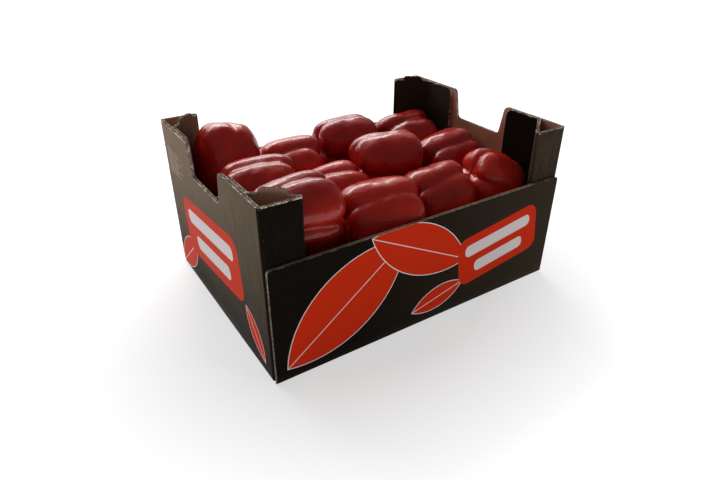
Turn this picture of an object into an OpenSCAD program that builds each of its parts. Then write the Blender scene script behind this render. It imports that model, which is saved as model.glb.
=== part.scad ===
// Open corrugated carton with triangular corner posts, filled with two layers of sweet peppers.
// Sizes are in millimetres. X runs along the carton, Z is up, and the origin is under the middle of its base.

/* [Peppers] */
// Length of a middling pepper, from its shoulder to its tip
fruit_l = 85; // [72:1:100]
// Width of a middling pepper
fruit_w = 86; // [74:1:98]
// Room between peppers along the carton
gap_along = 12.25; // [11:0.25:24]
// Room between peppers across the carton
gap_across = 9; // [8:0.5:20]
// Width of a stem
stem_d = 11; // [7:0.5:15]
// Gap between a pepper and what it rests on
seat_gap = 0.3; // [0.2:0.1:0.6]
// Gap that keeps a pepper off the walls and the posts
wall_gap = 1; // [0.5:0.5:4]

/* [Board] */
// Thickness of the corrugated board
board = 3.5; // [2:0.5:5]
// Inside radius of the folds
fold_in = 0.6; // [0.3:0.1:1.5]
// How far a crease presses each face of the board in along a fold
crease = 0.2; // [0.2:0.05:0.5]

/* [Walls] */
// Height of the two long walls
wall_h = 140; // [100:1:170]
// Rounding of the long walls' top corners
wall_r = 4; // [1:0.5:10]
// How far the long walls stop short of the end walls' outer faces
wall_inset = 1.5; // [0.5:0.5:3]
// Height of the end walls and the corner posts
post_h = 203; // [180:1:250]

/* [Hand notches] */
// Width of a notch at the top of its end wall
notch_top_w = 95; // [80:1:120]
// Width of a notch at its floor
notch_floor_w = 81; // [60:1:100]
// Depth of a notch
notch_d = 39; // [20:1:50]
// Rounding where a notch meets the top edge
notch_lip_r = 7; // [2:0.5:12]
// Rounding at the floor of a notch
notch_floor_r = 6; // [2:0.5:12]

/* [Corner posts] */
// Reach of a post along its long wall
post_along = 45; // [36:1:54]
// Reach of a post along its end wall
post_across = 38; // [30:1:46]
// How far the glued flap of a post stops short of the notch
glue_back = 7; // [4:1:15]
// Rounding of the glued flap's top corner
glue_r = 10; // [3:1:20]

/* [Stacking tabs] */
// Height of a tab over its post
tab_h = 6; // [4:0.5:9]
// Width of a tab at its foot
tab_foot_w = 30; // [20:1:34]
// Width of a tab at its top
tab_top_w = 23; // [14:1:28]
// Play of a tab in the slot of the carton above it
tab_play = 1; // [0.5:0.25:2]

/* [Hidden] */
$fn = 48;

// Peppers stand in four columns and three rows.
columns = 4;
rows = 3;
pitch_x = fruit_l + gap_along;
pitch_y = fruit_w + gap_across;

// The carton is as large as its peppers need.
inner_l = columns * pitch_x;
inner_w = rows * pitch_y;
// Glued flaps line the end walls.
lined_l = inner_l - 2 * board;
carton_l = inner_l + 2 * board;
carton_w = inner_w + 2 * board;
fold_out = fold_in + board;
half_l = carton_l / 2;
half_w = carton_w / 2;
// Depth by which glued faces, and panels and their creases, run into each other
weld = 0.1;
overrun = 1;
// The end walls and the posts' flaps stand inside the long walls.
flap_y = half_w - board + weld;

// Plan of a post: X is measured inwards from the end wall's outer face, and Y from the flap's outer face.
// Its slanting panel runs from the fold at the apex to the fold at the heel.
apex = [post_along - fold_out, fold_out];
heel = [2 * board - weld + fold_in, post_across];
fold_pair = fold_out + fold_in;
run = [apex.x - heel.x, heel.y - apex.y];
slant = acos(fold_pair / norm(run)) - atan2(run.x, run.y);
slant_l = (run.x + fold_pair * sin(slant)) / cos(slant);
slant_out = [sin(slant), cos(slant)];
slant_middle = apex + slant_out * (fold_in + board / 2) + [-cos(slant), sin(slant)] * slant_l / 2;
glue_end = flap_y - notch_top_w / 2 - glue_back;
slot_w = tab_foot_w + 2 * tab_play;
slot_t = board + 2 * tab_play;
slot_h = tab_h + tab_play;
recess_w = slot_w + 2 * tab_play;

// Form of a pepper: shares of its own length and width.
end_share = 0.885;
taper_share = 0.10;
block = 3.6;
furrow_share = 0.17;
furrow_side_share = 0.75;
furrow_end_share = 0.6;
crown_dimple_share = 0.24;
tip_dimple_share = 0.16;
dimple_width_share = 0.42;
lean_angle = 50;
stem_reach_share = 0.82;
stem_root_share = 0.74;
stem_flare_share = 1.25;
// Pitch from which a pepper counts as standing, in degrees
upright = 45;
// Facets of a pepper, and the fineness with which it is let down on those below it
around = 24;
rings = 8;
slice = 360 / around;
ring_step = 180 / (rings + 1);
edge_steps = 4;
settle_steps = 10;

// Each row: name, place along and across as shares of the two pitches, yaw, pitch and roll in degrees,
// length and width as shares of a middling pepper's, number of lobes, lean to one side as a share.
lower_shares = [
    ["pepper_low_front_1", -1.42, -0.93, 10, -88, 0, 1.25, 0.98, 4, 0.04],
    ["pepper_low_front_2", -0.45, -1.00, 4, 0, 20, 0.98, 1.00, 3, 0.04],
    ["pepper_low_front_3", 0.53, -1.00, -5, 0, 0, 0.98, 0.95, 4, 0.04],
    ["pepper_low_front_4", 1.48, -0.92, 0, 0, 45, 0.94, 0.92, 3, 0.04],
    ["pepper_low_middle_1", -1.44, 0.02, 30, -88, 0, 1.22, 0.98, 3, 0.04],
    ["pepper_low_middle_2", -0.50, 0.00, 0, 0, 30, 0.94, 0.92, 4, 0.04],
    ["pepper_low_middle_3", 0.44, 0.08, 20, -88, 0, 1.12, 0.96, 4, 0.04],
    ["pepper_low_middle_4", 1.46, 0.02, 5, 0, 0, 0.94, 0.98, 4, 0.04],
    ["pepper_low_back_1", -1.40, 0.94, 0, -88, 0, 1.22, 0.96, 4, 0.04],
    ["pepper_low_back_2", -0.50, 0.96, 0, 0, 0, 0.94, 1.02, 3, 0.04],
    ["pepper_low_back_3", 0.42, 1.00, 0, -88, 20, 1.08, 0.94, 4, 0.04],
    ["pepper_low_back_4", 1.40, 0.94, 0, 0, 40, 0.96, 0.96, 4, 0.04],
];
upper_shares = [
    ["pepper_top_front_1", -1.38, -0.9, -3, 0, -4, 1.06, 1.02, 4, 0.05],
    ["pepper_top_front_2", -0.345, -0.97, -14, 0, 6, 1.05, 0.97, 3, 0.05],
    ["pepper_top_front_3", 0.59, -0.83, 0, 0, -2, 0.96, 0.98, 3, 0.05],
    ["pepper_top_front_4", 1.58, -0.9, -14, -31, 0, 0.84, 0.95, 4, 0.05],
    ["pepper_top_middle_1", -1.38, 0.035, -19, 0, -15, 1.02, 0.93, 3, 0.05],
    ["pepper_top_middle_2", -0.465, -0.1, 0, 0, 10, 0.98, 0.96, 4, 0.05],
    ["pepper_top_middle_3", 0.465, 0.075, -18, 0, -45, 1.08, 0.97, 3, 0.05],
    ["pepper_top_middle_4", 1.5, 0.02, 5, 0, -4, 1.02, 0.95, 3, 0.05],
    ["pepper_top_back_1", -1.44, 1, 235, -75, 45, 1.09, 1.03, 4, 0.05],
    ["pepper_top_back_2", -0.565, 0.83, -17, 0, -3, 0.97, 0.94, 3, 0.05],
    ["pepper_top_back_3", 0.385, 1.02, -12, 0, -40, 1.02, 0.96, 3, 0.05],
    ["pepper_top_back_4", 1.44, 0.95, -6, 0, -14, 1.00, 0.95, 3, 0.05],
];

// A pepper is held as [place, [yaw, pitch, roll], half length, half width, lobes, lean].
// One that stands on its end is as wide as the narrower of its column and its row lets it be.
function pepper_of(row) = [
    [row[1] * pitch_x, row[2] * pitch_y, 0],
    [row[3], row[4], row[5]],
    fruit_l * row[6] / (2 * end_share),
    (abs(row[4]) > upright ? min(fruit_l, fruit_w) : fruit_w) * row[7] / 2,
    row[8],
    row[9],
];
function at(pepper, place) = [place, pepper[1], pepper[2], pepper[3], pepper[4], pepper[5]];

// Distance from a pepper's middle to its skin, at an angle from the stem and an angle around it.
function skin(pepper, from_stem, around_stem) =
    let (
        side = sin(from_stem),
        along = cos(from_stem),
        wide = pepper[3] * (1 + taper_share * along),
        blocky = pow(abs(side) / wide, block) + pow(abs(along) / pepper[2], block),
        valley = pow((1 + cos(pepper[4] * around_stem)) / 2, 3),
        furrow = furrow_share * (furrow_side_share + furrow_end_share * along * along) * valley,
        dimple_share = along > 0 ? crown_dimple_share : tip_dimple_share,
        dimple = dimple_share * exp(-pow(side / dimple_width_share, 2)),
        lean = pepper[5] * cos(around_stem - lean_angle) * side
    )
    pow(blocky, -1 / block) * (1 - furrow) * (1 - dimple) * (1 + lean);

// Turns a point from the pepper's own axes, stem along X, to the carton's, and back.
function turned(point, turn) =
    let (
        rolled = [
            point.x,
            point.y * cos(turn[2]) - point.z * sin(turn[2]),
            point.y * sin(turn[2]) + point.z * cos(turn[2]),
        ],
        raised = [
            rolled.x * cos(turn[1]) - rolled.z * sin(turn[1]),
            rolled.y,
            rolled.x * sin(turn[1]) + rolled.z * cos(turn[1]),
        ]
    )
    [
        raised.x * cos(turn[0]) - raised.y * sin(turn[0]),
        raised.x * sin(turn[0]) + raised.y * cos(turn[0]),
        raised.z,
    ];
function turned_back(point, turn) =
    let (
        raised = [
            point.x * cos(turn[0]) + point.y * sin(turn[0]),
            point.y * cos(turn[0]) - point.x * sin(turn[0]),
            point.z,
        ],
        rolled = [
            raised.x * cos(turn[1]) + raised.z * sin(turn[1]),
            raised.y,
            raised.z * cos(turn[1]) - raised.x * sin(turn[1]),
        ]
    )
    [
        rolled.x,
        rolled.y * cos(turn[2]) + rolled.z * sin(turn[2]),
        rolled.z * cos(turn[2]) - rolled.y * sin(turn[2]),
    ];

// Rings of points around the stem's axis.
function ring(along, out) =
    [for (k = [0 : around - 1]) [along, out * cos(k * slice), out * sin(k * slice)]];
function skin_ring(pepper, from_stem) = [
    for (k = [0 : around - 1])
        let (reach = skin(pepper, from_stem, k * slice), out = reach * sin(from_stem))
            [reach * cos(from_stem), out * cos(k * slice), out * sin(k * slice)]
];
// The skin's rings from the stem end to the tip, with a ring of no width at each end.
function skin_rings(pepper) = concat(
    [ring(skin(pepper, 0, slice), 0)],
    [for (i = [1 : rings]) skin_ring(pepper, i * ring_step)],
    [ring(-skin(pepper, 180, slice), 0)]
);
function stem_rings(pepper) = [
    ring(pepper[2] * stem_reach_share, stem_d / 2),
    ring(pepper[2] * stem_root_share, stem_d / 2 * stem_flare_share),
];
function all_turned(points, turn) = [for (point = points) turned(point, turn)];
function moved(points, place) = [for (point = points) point + place];

// Triangles between a first pole, rings of points and a last pole, seen clockwise from outside.
function faces(count) = concat(
    [for (k = [0 : around - 1]) [0, 1 + (k + 1) % around, 1 + k]],
    [
        for (i = [0 : count - 2], k = [0 : around - 1])
            let (
                a = 1 + i * around + k,
                b = 1 + i * around + (k + 1) % around
            )
                each [[a, b, a + around], [b, b + around, a + around]]
    ],
    [
        for (k = [0 : around - 1])
            let (last = 1 + (count - 1) * around)
                [last + around, last + k, last + (k + 1) % around]
    ]
);

// Moves a pepper inwards where it would touch a wall or the slanting face of a post.
function kept_in(pepper, points) =
    let (
        way = [pepper[0].x < 0 ? -1 : 1, pepper[0].y < 0 ? -1 : 1],
        reach_x = max([for (point = points) point.x * way.x]),
        reach_y = max([for (point = points) point.y * way.y]),
        reach_post = max([for (p = points) p.x * way.x * slant_out.x + p.y * way.y * slant_out.y]),
        x = min(abs(pepper[0].x), lined_l / 2 - wall_gap - reach_x),
        y = min(abs(pepper[0].y), inner_w / 2 - wall_gap - reach_y),
        room = [half_l - x - apex.x, flap_y - y - apex.y] * slant_out - fold_out,
        push = max(0, reach_post + wall_gap - room)
    )
    [(x - push * slant_out.x) * way.x, (y - push * slant_out.y) * way.y, 0];

// Points along the edges of a pepper's facets, turned as the pepper lies.
function edge_points(skin, turn) = all_turned(
    [
        for (i = [0 : rings], k = [0 : around - 1])
            let (a = skin[i][k], b = skin[i][(k + 1) % around], c = skin[i + 1][k])
                for (j = [0 : edge_steps - 1])
                    let (share = j / edge_steps)
                        each [a + (b - a) * share, a + (c - a) * share, b + (c - b) * share]
    ],
    turn
);
// Those points that lie above or under another pepper's own circle in plan.
function over(points, apart, reach) =
    [for (point = points) if (norm([point.x - apart.x, point.y - apart.y]) < reach) point];

// How far a point lies outside the facets of a pepper; less than zero is inside.
function outside(point, turn, skin) =
    let (
        own = turned_back(point, turn),
        far = norm(own),
        a = acos(own.x / far) / ring_step,
        b = (atan2(own.z, own.y) + 360) % 360 / slice,
        i = min(floor(a), rings),
        k = min(floor(b), around - 1),
        first = i == rings || (i > 0 && a - i + b - k < 1),
        corner = first ? skin[i][k] : skin[i + 1][(k + 1) % around],
        left = skin[i][(k + 1) % around],
        right = skin[i + 1][k],
        normal = cross(left - right, corner - right)
    )
    far - (normal * right) / (normal * own) * far;
function meets(points, turn, skin, place) =
    len([for (point = points) if (outside(point - place, turn, skin) < 0) 1]) > 0;

// A lower pepper lies on the base.
function on_base(row) =
    let (
        pepper = pepper_of(row),
        points = edge_points(skin_rings(pepper), pepper[1]),
        place = kept_in(pepper, points),
        lowest = min([for (point = points) point.z])
    )
    at(pepper, [place.x, place.y, board + seat_gap - lowest]);

// An upper pepper is let down until it meets one of those under it, halving the height that is left each time.
// Each of those is held as [turn, skin, its points, the upper pepper's points, the way between them, top].
function let_down(turn, skin, below, low, high, step) =
    step == 0 ? high :
    let (
        height = (low + high) / 2,
        hits = [
            for (other = below)
                let (up = other[4] + [0, 0, height])
                    if (meets(other[3], other[0], other[1], -up) || meets(other[2], turn, skin, up)) 1
        ]
    )
    len(hits) > 0
        ? let_down(turn, skin, below, height, high, step - 1)
        : let_down(turn, skin, below, low, height, step - 1);
function on_peppers(row) =
    let (
        pepper = pepper_of(row),
        skin = skin_rings(pepper),
        points = edge_points(skin, pepper[1]),
        place = kept_in(pepper, points),
        below = [
            for (lower = lower_shares)
                let (other = on_base(lower), way = place - other[0], apart = norm([way.x, way.y]))
                    if (apart < pepper[2] + other[2])
                        let (
                            other_skin = skin_rings(other),
                            other_points = edge_points(other_skin, other[1])
                        )
                            [
                                other[1],
                                other_skin,
                                over(other_points, way, pepper[2]),
                                over(points, -way, other[2]),
                                way,
                                other[0].z + max([for (point = other_points) point.z]),
                            ]
        ],
        high = max([for (other = below) other[5]]) - min([for (point = points) point.z]),
        height = let_down(pepper[1], skin, below, high - fruit_w, high, settle_steps)
    )
    at(pepper, [place.x, place.y, height + seat_gap]);

module pepper(pepper) {
    skin = skin_rings(pepper);
    stem = stem_rings(pepper);
    stem_end = [pepper[2] * stem_reach_share, 0, 0];
    tip = skin[rings + 1][0];
    points = [stem_end, each stem[0], each stem[1], for (i = [1 : rings]) each skin[i], tip];
    color([0.52, 0.09, 0.07])
        polyhedron(points = moved(all_turned(points, pepper[1]), pepper[0]), faces = faces(rings + len(stem)));
}

// An outline whose corners, given as [x, y, radius], are rounded.
function rounded(corners, steps = 6) = [
    for (i = [0 : len(corners) - 1])
        let (
            count = len(corners),
            corner = [corners[i].x, corners[i].y],
            before = [corners[(i + count - 1) % count].x, corners[(i + count - 1) % count].y] - corner,
            after = [corners[(i + 1) % count].x, corners[(i + 1) % count].y] - corner,
            radius = corners[i].z,
            to_before = before / norm(before),
            to_after = after / norm(after),
            half = acos(to_before * to_after) / 2,
            middle = corner + (to_before + to_after) / norm(to_before + to_after) * radius / sin(half),
            start = corner + to_before * radius / tan(half) - middle,
            way = cross(to_before, to_after) > 0 ? -1 : 1,
            sweep = way * (180 - 2 * half)
        )
            each radius == 0 ? [corner] : [
                for (k = [0 : steps])
                    let (a = sweep * k / steps)
                        middle + [start.x * cos(a) - start.y * sin(a), start.x * sin(a) + start.y * cos(a)]
            ]
];

// A creased fold around Z, from a first angle on.
module fold(from, sweep, height) {
    rotate(from)
        rotate_extrude(angle = sweep)
            translate([fold_in + crease, 0])
                square([board - 2 * crease, height]);
}

// A sheet drawn in X and Z, standing with one face on Y = 0 and its thickness towards -Y.
module standing(outline) {
    rotate([90, 0, 0])
        linear_extrude(board)
            polygon(outline);
}

module base() {
    slot_at = [half_l, flap_y] - slant_middle;
    difference() {
        translate([-half_l + fold_out - weld, -half_w + fold_out - weld, 0])
            cube([carton_l - 2 * (fold_out - weld), carton_w - 2 * (fold_out - weld), board]);
        for (side_x = [0, 1], side_y = [0, 1])
            mirror([side_x, 0, 0])
                mirror([0, side_y, 0])
                    translate([slot_at.x, slot_at.y, -overrun])
                        rotate(-slant)
                            translate([-slot_w / 2, -slot_t / 2, 0])
                                cube([slot_w, slot_t, board + 2 * overrun]);
    }
}

module long_wall() {
    wall_l = carton_l - 2 * wall_inset;
    translate([0, half_w, 0])
        standing(rounded([
            [-wall_l / 2, fold_out - weld, 0],
            [wall_l / 2, fold_out - weld, 0],
            [wall_l / 2, wall_h, wall_r],
            [-wall_l / 2, wall_h, wall_r],
        ]));
    translate([-wall_l / 2, half_w - fold_out, fold_out])
        rotate([90, 0, 90])
            fold(-90, 90, wall_l);
}

module end_wall() {
    fold_l = 2 * (flap_y - fold_out);
    edge_y = fold_l / 2 + weld;
    floor_z = post_h - notch_d;
    translate([half_l, 0, 0])
        rotate(-90)
            standing(rounded([
                [-edge_y, fold_out - weld, 0],
                [edge_y, fold_out - weld, 0],
                [edge_y, post_h, 0],
                [notch_top_w / 2, post_h, notch_lip_r],
                [notch_floor_w / 2, floor_z, notch_floor_r],
                [-notch_floor_w / 2, floor_z, notch_floor_r],
                [-notch_top_w / 2, post_h, notch_lip_r],
                [-edge_y, post_h, 0],
            ]));
    translate([half_l - fold_out, fold_l / 2, fold_out])
        rotate([90, 0, 0])
            fold(-90, 90, fold_l);
}

// One corner post in the axes of its plan, from the base up.
module post() {
    foot_z = board - weld;
    post_l = post_h - foot_z;
    fold_l = post_l - crease;
    translate([0, 0, foot_z]) {
        translate([fold_out, fold_out, 0])
            fold(180, 90, fold_l);
        translate([fold_out - weld, 0, 0])
            cube([apex.x - fold_out + 2 * weld, board, post_l]);
        translate([apex.x, apex.y, 0])
            fold(-90, 180 - slant, fold_l);
        translate([heel.x, heel.y, 0])
            fold(180, 90 - slant, fold_l);
    }
    slant_panel();
    translate([board - weld, 0, 0])
        rotate(90)
            standing(rounded([
                [heel.y - weld, foot_z, 0],
                [glue_end, foot_z, 0],
                [glue_end, post_h, glue_r],
                [heel.y - weld, post_h, 0],
            ]));
}

// The slanting panel, with a stacking tab on top and a recess for the tab of a carton below.
module slant_panel() {
    foot_z = board - weld;
    panel_l = slant_l + 2 * weld;
    translate([apex.x, apex.y, 0])
        rotate(180 - slant)
            translate([slant_l / 2, -fold_in, 0])
                standing([
                    [-panel_l / 2, foot_z],
                    [-recess_w / 2, foot_z],
                    [-recess_w / 2, slot_h],
                    [recess_w / 2, slot_h],
                    [recess_w / 2, foot_z],
                    [panel_l / 2, foot_z],
                    [panel_l / 2, post_h],
                    [tab_foot_w / 2, post_h],
                    [tab_top_w / 2, post_h + tab_h],
                    [-tab_top_w / 2, post_h + tab_h],
                    [-tab_foot_w / 2, post_h],
                    [-panel_l / 2, post_h],
                ]);
}

// One die-cut sheet, folded and glued.
module carton() {
    color([0.16, 0.13, 0.11]) {
        base();
        for (side = [0, 1]) {
            mirror([0, side, 0])
                long_wall();
            mirror([side, 0, 0])
                end_wall();
        }
        for (side_x = [0, 1], side_y = [0, 1])
            mirror([side_x, 0, 0])
                mirror([0, side_y, 0])
                    translate([half_l, flap_y, 0])
                        rotate(180)
                            post();
    }
}

carton();
for (row = lower_shares)
    pepper(on_base(row));
for (row = upper_shares)
    pepper(on_peppers(row));
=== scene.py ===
"""Looks of the pepper carton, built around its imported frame.

Sizes of the carton and its peppers are in millimetres, as in the part's source.
mesh_object turns them into metres.
"""

import math

import bpy
import numpy as np
from mathutils import Matrix, Vector
from mathutils.geometry import delaunay_2d_cdt


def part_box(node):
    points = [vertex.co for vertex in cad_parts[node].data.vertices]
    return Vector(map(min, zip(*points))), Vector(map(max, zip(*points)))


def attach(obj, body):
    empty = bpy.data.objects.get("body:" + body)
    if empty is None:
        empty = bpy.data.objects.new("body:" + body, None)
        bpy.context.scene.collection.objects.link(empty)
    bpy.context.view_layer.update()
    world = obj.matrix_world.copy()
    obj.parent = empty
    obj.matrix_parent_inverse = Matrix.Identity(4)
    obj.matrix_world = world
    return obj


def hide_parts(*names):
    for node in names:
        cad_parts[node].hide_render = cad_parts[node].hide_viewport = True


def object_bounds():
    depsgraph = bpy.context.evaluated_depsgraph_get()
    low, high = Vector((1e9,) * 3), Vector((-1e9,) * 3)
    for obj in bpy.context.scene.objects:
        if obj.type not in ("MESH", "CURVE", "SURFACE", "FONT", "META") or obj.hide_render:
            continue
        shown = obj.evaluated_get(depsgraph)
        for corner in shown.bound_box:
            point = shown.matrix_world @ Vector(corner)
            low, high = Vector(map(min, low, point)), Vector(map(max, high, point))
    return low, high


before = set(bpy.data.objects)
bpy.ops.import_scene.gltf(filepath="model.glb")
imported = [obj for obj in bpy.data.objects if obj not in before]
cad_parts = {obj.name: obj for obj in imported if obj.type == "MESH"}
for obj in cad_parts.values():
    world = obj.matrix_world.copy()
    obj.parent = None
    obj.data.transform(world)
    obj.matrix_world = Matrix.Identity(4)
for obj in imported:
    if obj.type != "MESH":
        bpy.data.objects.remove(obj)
cad_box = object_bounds()

MM = 0.001

# The carton's sizes, as in the part's source.
BOARD = 3.5
FOLD_IN = 0.6
FOLD_OUT = FOLD_IN + BOARD
HALF_L, HALF_W = 198.0, 146.0
WELD = 0.1
FLAP_Y = HALF_W - BOARD + WELD
WALL_H, WALL_R, WALL_INSET = 140.0, 4.0, 1.5
POST_H = 203.0
NOTCH_TOP, NOTCH_FLOOR, NOTCH_D = 95.0, 81.0, 39.0
NOTCH_LIP_R, NOTCH_FLOOR_R = 7.0, 6.0
POST_ALONG, POST_ACROSS = 45.0, 38.0
GLUE_BACK, GLUE_R = 7.0, 10.0
TAB_H, TAB_FOOT, TAB_TOP, TAB_PLAY = 6.0, 30.0, 23.0, 1.0
APEX = np.array([POST_ALONG - FOLD_OUT, FOLD_OUT])
HEEL = np.array([2 * BOARD - WELD + FOLD_IN, POST_ACROSS])
RUN = np.array([APEX[0] - HEEL[0], HEEL[1] - APEX[1]])
FOLD_PAIR = FOLD_OUT + FOLD_IN
SLANT = math.acos(FOLD_PAIR / np.hypot(*RUN)) - math.atan2(RUN[0], RUN[1])
SLANT_L = (RUN[0] + FOLD_PAIR * math.sin(SLANT)) / math.cos(SLANT)
SLANT_OUT = np.array([math.sin(SLANT), math.cos(SLANT)])
SLANT_WAY = np.array([-math.cos(SLANT), math.sin(SLANT)])
GLUE_END = FLAP_Y - NOTCH_TOP / 2 - GLUE_BACK
SLOT_W, SLOT_T, SLOT_H = TAB_FOOT + 2 * TAB_PLAY, BOARD + 2 * TAB_PLAY, TAB_H + TAB_PLAY

# The corrugation that a cut edge shows.
LINER = 0.4
GROOVE = 1.1
FLUTE_PITCH = 6.4
MEDIUM = 0.3
MEDIUM_SINK = 0.25

# The peppers' sizes and form, as in the part's source.
FRUIT_L, FRUIT_W = 85.0, 86.0
STEM_D = 11.0
END_SHARE, TAPER, BLOCK = 0.885, 0.10, 3.6
FURROW, FURROW_SIDE, FURROW_END = 0.17, 0.75, 0.6
CROWN_DIMPLE, TIP_DIMPLE, DIMPLE_WIDTH = 0.24, 0.16, 0.42
LEAN_ANGLE = math.radians(50)
STEM_REACH, STEM_ROOT, STEM_FLARE = 0.82, 0.74, 1.25
CAD_AROUND, CAD_RINGS = 24, 8
# A pepper pitched more than this stands, and its width follows the smaller of the two sizes.
UPRIGHT = 45

# Each pepper: yaw, pitch and roll in degrees, length and width shares, lobes and lean.
PEPPERS = {
    "pepper_low_front_1": (10, -88, 0, 1.25, 0.98, 4, 0.04),
    "pepper_low_front_2": (4, 0, 20, 0.98, 1.00, 3, 0.04),
    "pepper_low_front_3": (-5, 0, 0, 0.98, 0.95, 4, 0.04),
    "pepper_low_front_4": (0, 0, 45, 0.94, 0.92, 3, 0.04),
    "pepper_low_middle_1": (30, -88, 0, 1.22, 0.98, 3, 0.04),
    "pepper_low_middle_2": (0, 0, 30, 0.94, 0.92, 4, 0.04),
    "pepper_low_middle_3": (20, -88, 0, 1.12, 0.96, 4, 0.04),
    "pepper_low_middle_4": (5, 0, 0, 0.94, 0.98, 4, 0.04),
    "pepper_low_back_1": (0, -88, 0, 1.22, 0.96, 4, 0.04),
    "pepper_low_back_2": (0, 0, 0, 0.94, 1.02, 3, 0.04),
    "pepper_low_back_3": (0, -88, 20, 1.08, 0.94, 4, 0.04),
    "pepper_low_back_4": (0, 0, 40, 0.96, 0.96, 4, 0.04),
    "pepper_top_front_1": (-3, 0, -4, 1.06, 1.02, 4, 0.05),
    "pepper_top_front_2": (-14, 0, 6, 1.05, 0.97, 3, 0.05),
    "pepper_top_front_3": (0, 0, -2, 0.96, 0.98, 3, 0.05),
    "pepper_top_front_4": (-14, -31, 0, 0.84, 0.95, 4, 0.05),
    "pepper_top_middle_1": (-19, 0, -15, 1.02, 0.93, 3, 0.05),
    "pepper_top_middle_2": (0, 0, 10, 0.98, 0.96, 4, 0.05),
    "pepper_top_middle_3": (-18, 0, -45, 1.08, 0.97, 3, 0.05),
    "pepper_top_middle_4": (5, 0, -4, 1.02, 0.95, 3, 0.05),
    "pepper_top_back_1": (235, -75, 45, 1.09, 1.03, 4, 0.05),
    "pepper_top_back_2": (-17, 0, -3, 0.97, 0.94, 3, 0.05),
    "pepper_top_back_3": (-12, 0, -40, 1.02, 0.96, 3, 0.05),
    "pepper_top_back_4": (-6, 0, -14, 1.00, 0.95, 3, 0.05),
}


class Graph:
    """Short forms for the nodes of one material."""

    def __init__(self, name):
        self.material = bpy.data.materials.new(name)
        self.material.use_nodes = True
        self.tree = self.material.node_tree
        self.tree.nodes.clear()
        self.shader = self.tree.nodes.new("ShaderNodeBsdfPrincipled")
        output = self.tree.nodes.new("ShaderNodeOutputMaterial")
        self.tree.links.new(self.shader.outputs[0], output.inputs[0])

    def node(self, kind, inputs=None, **settings):
        made = self.tree.nodes.new(kind)
        for key, value in settings.items():
            setattr(made, key, value)
        for key, value in (inputs or {}).items():
            self.put(made.inputs[key], value)
        return made

    def put(self, socket, value):
        if isinstance(value, bpy.types.NodeSocket):
            self.tree.links.new(value, socket)
        else:
            socket.default_value = value

    def set(self, **values):
        for key, value in values.items():
            self.put(self.shader.inputs[key.replace("_", " ")], value)

    def math(self, kind, *values):
        return self.node("ShaderNodeMath", dict(enumerate(values)), operation=kind).outputs[0]

    def add(self, a, b):
        return self.math("ADD", a, b)

    def sub(self, a, b):
        return self.math("SUBTRACT", a, b)

    def mul(self, a, b):
        return self.math("MULTIPLY", a, b)

    def mix(self, share, first, second):
        inputs = {0: share, 6: first, 7: second}
        return self.node("ShaderNodeMix", inputs, data_type="RGBA", clamp_factor=True).outputs[2]

    def attribute(self, name, output="Vector"):
        return self.node("ShaderNodeAttribute", attribute_name=name).outputs[output]

    def parts(self, vector):
        return self.node("ShaderNodeSeparateXYZ", {0: vector}).outputs

    def stretched(self, vector, x, y, z):
        return self.node("ShaderNodeVectorMath", {0: vector, 1: (x, y, z)}, operation="MULTIPLY").outputs[0]

    def noise(self, vector, scale, detail=2.0, rough=0.5):
        inputs = {"Vector": vector, "Scale": scale, "Detail": detail, "Roughness": rough}
        return self.node("ShaderNodeTexNoise", inputs).outputs[0]

    def ramp(self, value, low, high, to_low=0.0, to_high=1.0):
        inputs = {"Value": value, "From Min": low, "From Max": high, "To Min": to_low, "To Max": to_high}
        return self.node("ShaderNodeMapRange", inputs).outputs[0]

    def bump(self, height, strength, distance):
        inputs = {"Height": height, "Strength": strength, "Distance": distance}
        self.put(self.shader.inputs["Normal"], self.node("ShaderNodeBump", inputs).outputs[0])

    # Simple flat shapes: each gives the distance outside its border, less than zero inside.
    def local(self, along, up, middle, turn):
        cos, sin = math.cos(math.radians(turn)), math.sin(math.radians(turn))
        x, y = self.sub(along, middle[0]), self.sub(up, middle[1])
        return (
            self.add(self.mul(x, cos), self.mul(y, sin)),
            self.sub(self.mul(y, cos), self.mul(x, sin)),
        )

    def long(self, x, y):
        return self.math("SQRT", self.add(self.mul(x, x), self.mul(y, y)))

    def leaf(self, x, y, length, width):
        """Two arcs that meet in points, as the outline of a leaf."""
        radius = (length * length / width + width) / 4
        centre = radius - width / 2
        return self.sub(self.long(x, self.add(self.math("ABSOLUTE", y), centre)), radius)

    def plate(self, x, y, length, width, radius):
        """A rectangle with rounded corners."""
        across = self.sub(self.math("ABSOLUTE", x), length / 2 - radius)
        high = self.sub(self.math("ABSOLUTE", y), width / 2 - radius)
        corner = self.long(self.math("MAXIMUM", across, 0.0), self.math("MAXIMUM", high, 0.0))
        inner = self.math("MINIMUM", self.math("MAXIMUM", across, high), 0.0)
        return self.sub(self.add(corner, inner), radius)

    def within(self, distance, edge=0.0):
        return self.math("LESS_THAN", distance, edge)

    def beyond(self, distance, edge):
        return self.math("GREATER_THAN", distance, edge)

    def line(self, distance, width):
        return self.math("LESS_THAN", self.math("ABSOLUTE", distance), width / 2)


def mesh_object(name, points, faces, materials, face_materials=None, attributes=None, sharp=40):
    """A mesh from points in millimetres, with smooth faces, sharp edges and named point attributes."""
    mesh = bpy.data.meshes.new(name)
    mesh.from_pydata([tuple(p) for p in np.asarray(points, float) * MM], [], faces)
    for material in materials:
        mesh.materials.append(material)
    if face_materials is not None:
        mesh.polygons.foreach_set("material_index", face_materials)
    for key, values in (attributes or {}).items():
        values = np.asarray(values, np.float32)
        kind, field = ("FLOAT", "value") if values.ndim == 1 else ("FLOAT_VECTOR", "vector")
        mesh.attributes.new(key, kind, "POINT").data.foreach_set(field, values.ravel())
    mesh.shade_smooth()
    mesh.set_sharp_from_angle(angle=math.radians(sharp))
    mesh.update()
    made = bpy.data.objects.new(name, mesh)
    bpy.context.scene.collection.objects.link(made)
    return made


# Peppers


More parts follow.
